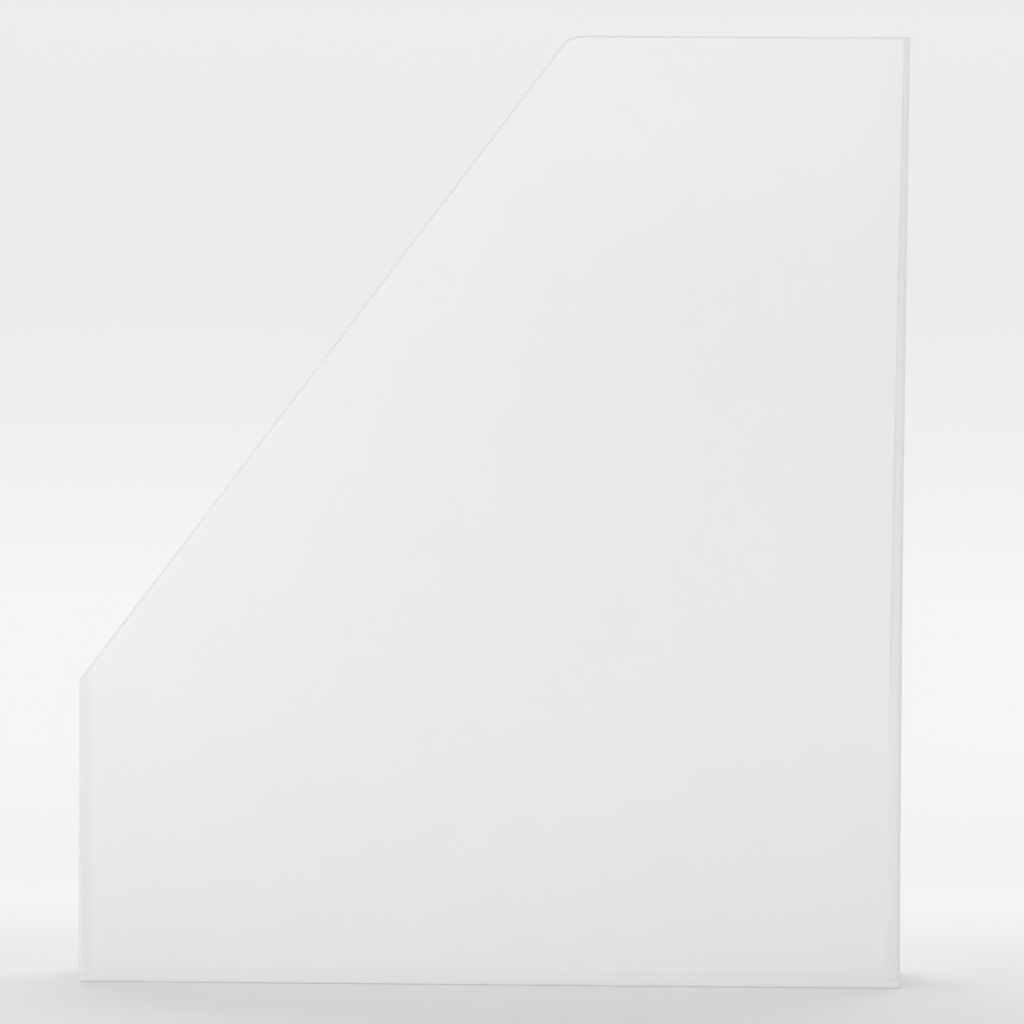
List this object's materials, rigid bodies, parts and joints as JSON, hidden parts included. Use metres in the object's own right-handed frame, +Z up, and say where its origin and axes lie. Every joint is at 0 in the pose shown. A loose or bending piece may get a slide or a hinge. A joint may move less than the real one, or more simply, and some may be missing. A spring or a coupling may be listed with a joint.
{
  "type": "desk magazine file",
  "caption": "Open-topped translucent plastic file for A4 magazines, with a tall back, a low front and sloping side walls on a shallow foot rim.",
  "frame": {"origin": "middle of the footprint's box, on the surface that the file stands on", "axes": "+Z up, +X towards the tall back wall, -X towards the low front wall, +Y across to the left side wall"},
  "size_m": [0.277, 0.1, 0.318],
  "materials": {
    "polypropylene": "milky translucent white, satin, finely textured"
  },
  "bodies": {
    "root": {"side_wall_right": "polypropylene", "side_wall_left": "polypropylene", "front_wall": "polypropylene", "back_wall": "polypropylene", "base_plate": "polypropylene", "foot_rail_right": "polypropylene", "foot_rail_left": "polypropylene", "foot_rail_front": "polypropylene", "foot_rail_back": "polypropylene"}
  },
  "joints": []
}
